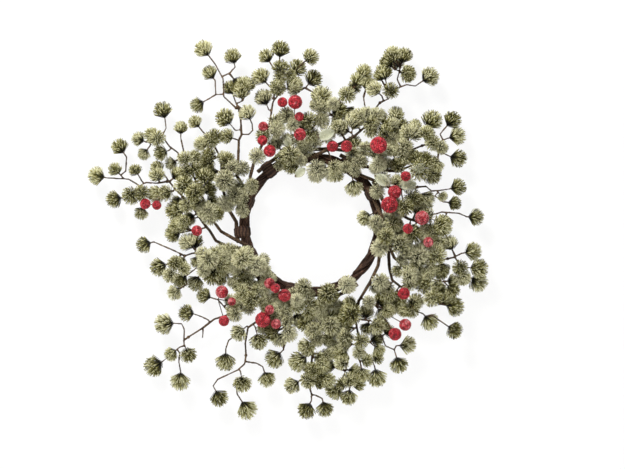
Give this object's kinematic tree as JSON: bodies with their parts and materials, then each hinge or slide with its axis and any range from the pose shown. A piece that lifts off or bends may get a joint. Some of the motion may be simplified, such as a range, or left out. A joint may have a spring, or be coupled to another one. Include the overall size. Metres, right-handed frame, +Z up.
{
  "type": "berry wreath",
  "caption": "Round frosted pine wreath: a twisted twig ring carries taped-on branches with needle tufts, bendable outer sprigs and sugared red berries on wire picks.",
  "frame": {"origin": "the hook seat: the inner top of the ring, in the middle of the ring bundle's depth", "axes": "+X to the right seen from the front, +Y to the back towards the door, +Z up; the front faces -Y"},
  "size_m": [0.6012, 0.0807, 0.573],
  "materials": {
    "hoop_wire": "plain drawn wire",
    "vine_bark": "dark grooved twig bark",
    "stem_tape": "wound matt stem tape",
    "foliage": "sage needles with pale frosted tips on brown twigs",
    "berries": "red with clear sugar beads, some frosted white"
  },
  "bodies": {
    "wreath": {"berry_pick_bottom_inner": "berries", "berry_pick_bottom_left": "berries", "berry_pick_bottom_right": "berries", "berry_pick_left_low": "berries", "berry_pick_left_lower": "berries", "berry_pick_right": "berries", "berry_pick_right_low": "berries", "berry_pick_right_top": "berries", "berry_pick_right_upper": "berries", "berry_pick_top": "berries", "berry_pick_top_left": "berries", "branch_bottom": "foliage", "branch_bottom_left": "foliage", "branch_bottom_right": "foliage", "branch_left": "foliage", "branch_left_inner": "foliage", "branch_left_low": "foliage", "branch_left_lower": "foliage", "branch_left_middle": "foliage", "branch_right": "foliage", "branch_right_inner": "foliage", "branch_right_low": "foliage", "branch_right_lower": "foliage", "branch_right_top": "foliage", "branch_right_upper": "foliage", "branch_top": "foliage", "branch_top_left": "foliage", "branch_top_right": "foliage", "branch_upper_left": "foliage", "core_hoop": "hoop_wire", "tape_binding_1": "stem_tape", "tape_binding_10": "stem_tape", "tape_binding_11": "stem_tape", "tape_binding_2": "stem_tape", "tape_binding_3": "stem_tape", "tape_binding_4": "stem_tape", "tape_binding_5": "stem_tape", "tape_binding_6": "stem_tape", "tape_binding_7": "stem_tape", "tape_binding_8": "stem_tape", "tape_binding_9": "stem_tape", "vine_strand_1": "vine_bark", "vine_strand_2": "vine_bark", "vine_strand_3": "vine_bark", "vine_strand_4": "vine_bark"},
    "sprig_upper_left": {"sprig_upper_left": "foliage"},
    "sprig_top_left": {"sprig_top_left": "foliage"},
    "sprig_top_right": {"sprig_top_right": "foliage"},
    "sprig_right_top": {"sprig_right_top": "foliage"},
    "sprig_right_inner": {"sprig_right_inner": "foliage"},
    "sprig_right_lower": {"sprig_right_lower": "foliage"},
    "sprig_right_low": {"sprig_right_low": "foliage"},
    "sprig_bottom_right": {"sprig_bottom_right": "foliage"},
    "sprig_bottom": {"sprig_bottom": "foliage"},
    "sprig_bottom_left": {"sprig_bottom_left": "foliage"},
    "sprig_left_low": {"sprig_left_low": "foliage"},
    "sprig_left_lower": {"sprig_left_lower": "foliage"},
    "sprig_left": {"sprig_left": "foliage", "berry_pick_left": "berries"},
    "sprig_left_middle": {"sprig_left_middle": "foliage"}
  },
  "joints": [
    {"name": "bend_upper_left", "type": "hinge", "parent": "wreath", "child": "sprig_upper_left", "pos_m": [-0.11263, -0.01107, 0.08183], "axis": [0.8256, 0, 0.5642], "range_deg": [-5, 30]},
    {"name": "bend_top_left", "type": "hinge", "parent": "wreath", "child": "sprig_top_left", "pos_m": [-0.05659, -0.014, 0.09609], "axis": [0.9991, 0, 0.0421], "range_deg": [-5, 30]},
    {"name": "bend_top_right", "type": "hinge", "parent": "wreath", "child": "sprig_top_right", "pos_m": [0.10232, -0.01201, 0.08965], "axis": [0.8911, 0, -0.4539], "range_deg": [-5, 30]},
    {"name": "bend_right_top", "type": "hinge", "parent": "wreath", "child": "sprig_right_top", "pos_m": [0.16533, -0.01201, 0.02545], "axis": [0.1652, 0, -0.9863], "range_deg": [-5, 30]},
    {"name": "bend_right_inner", "type": "hinge", "parent": "wreath", "child": "sprig_right_inner", "pos_m": [0.1585, -0.01201, -0.0363], "axis": [-0.2446, 0, -0.9696], "range_deg": [-5, 30]},
    {"name": "bend_right_lower", "type": "hinge", "parent": "wreath", "child": "sprig_right_lower", "pos_m": [0.20345, -0.01202, -0.14339], "axis": [-0.4051, 0, -0.9143], "range_deg": [-5, 30]},
    {"name": "bend_right_low", "type": "hinge", "parent": "wreath", "child": "sprig_right_low", "pos_m": [0.14301, -0.01042, -0.18603], "axis": [-0.7795, 0, -0.6264], "range_deg": [-5, 30]},
    {"name": "bend_bottom_right", "type": "hinge", "parent": "wreath", "child": "sprig_bottom_right", "pos_m": [0.06934, -0.01126, -0.23392], "axis": [-0.5775, 0, -0.8164], "range_deg": [-5, 30]},
    {"name": "bend_bottom", "type": "hinge", "parent": "wreath", "child": "sprig_bottom", "pos_m": [-0.00299, -0.00905, -0.33561], "axis": [-0.961, 0, -0.2765], "range_deg": [-5, 30]},
    {"name": "bend_bottom_left", "type": "hinge", "parent": "wreath", "child": "sprig_bottom_left", "pos_m": [-0.09802, -0.01001, -0.28794], "axis": [-0.9983, 0, 0.0584], "range_deg": [-5, 30]},
    {"name": "bend_left_low", "type": "hinge", "parent": "wreath", "child": "sprig_left_low", "pos_m": [-0.18434, -0.00903, -0.26081], "axis": [-0.7479, 0, 0.6638], "range_deg": [-5, 30]},
    {"name": "bend_left_lower", "type": "hinge", "parent": "wreath", "child": "sprig_left_lower", "pos_m": [-0.18999, -0.00903, -0.13906], "axis": [-0.2363, 0, 0.9717], "range_deg": [-5, 30]},
    {"name": "bend_left", "type": "hinge", "parent": "wreath", "child": "sprig_left", "pos_m": [-0.21606, -0.0101, -0.02808], "axis": [-0.0012, 0, 1], "range_deg": [-5, 30]},
    {"name": "bend_left_middle", "type": "hinge", "parent": "wreath", "child": "sprig_left_middle", "pos_m": [-0.19629, -0.01496, 0.01101], "axis": [0.5134, 0, 0.8582], "range_deg": [-5, 30]}
  ]
}
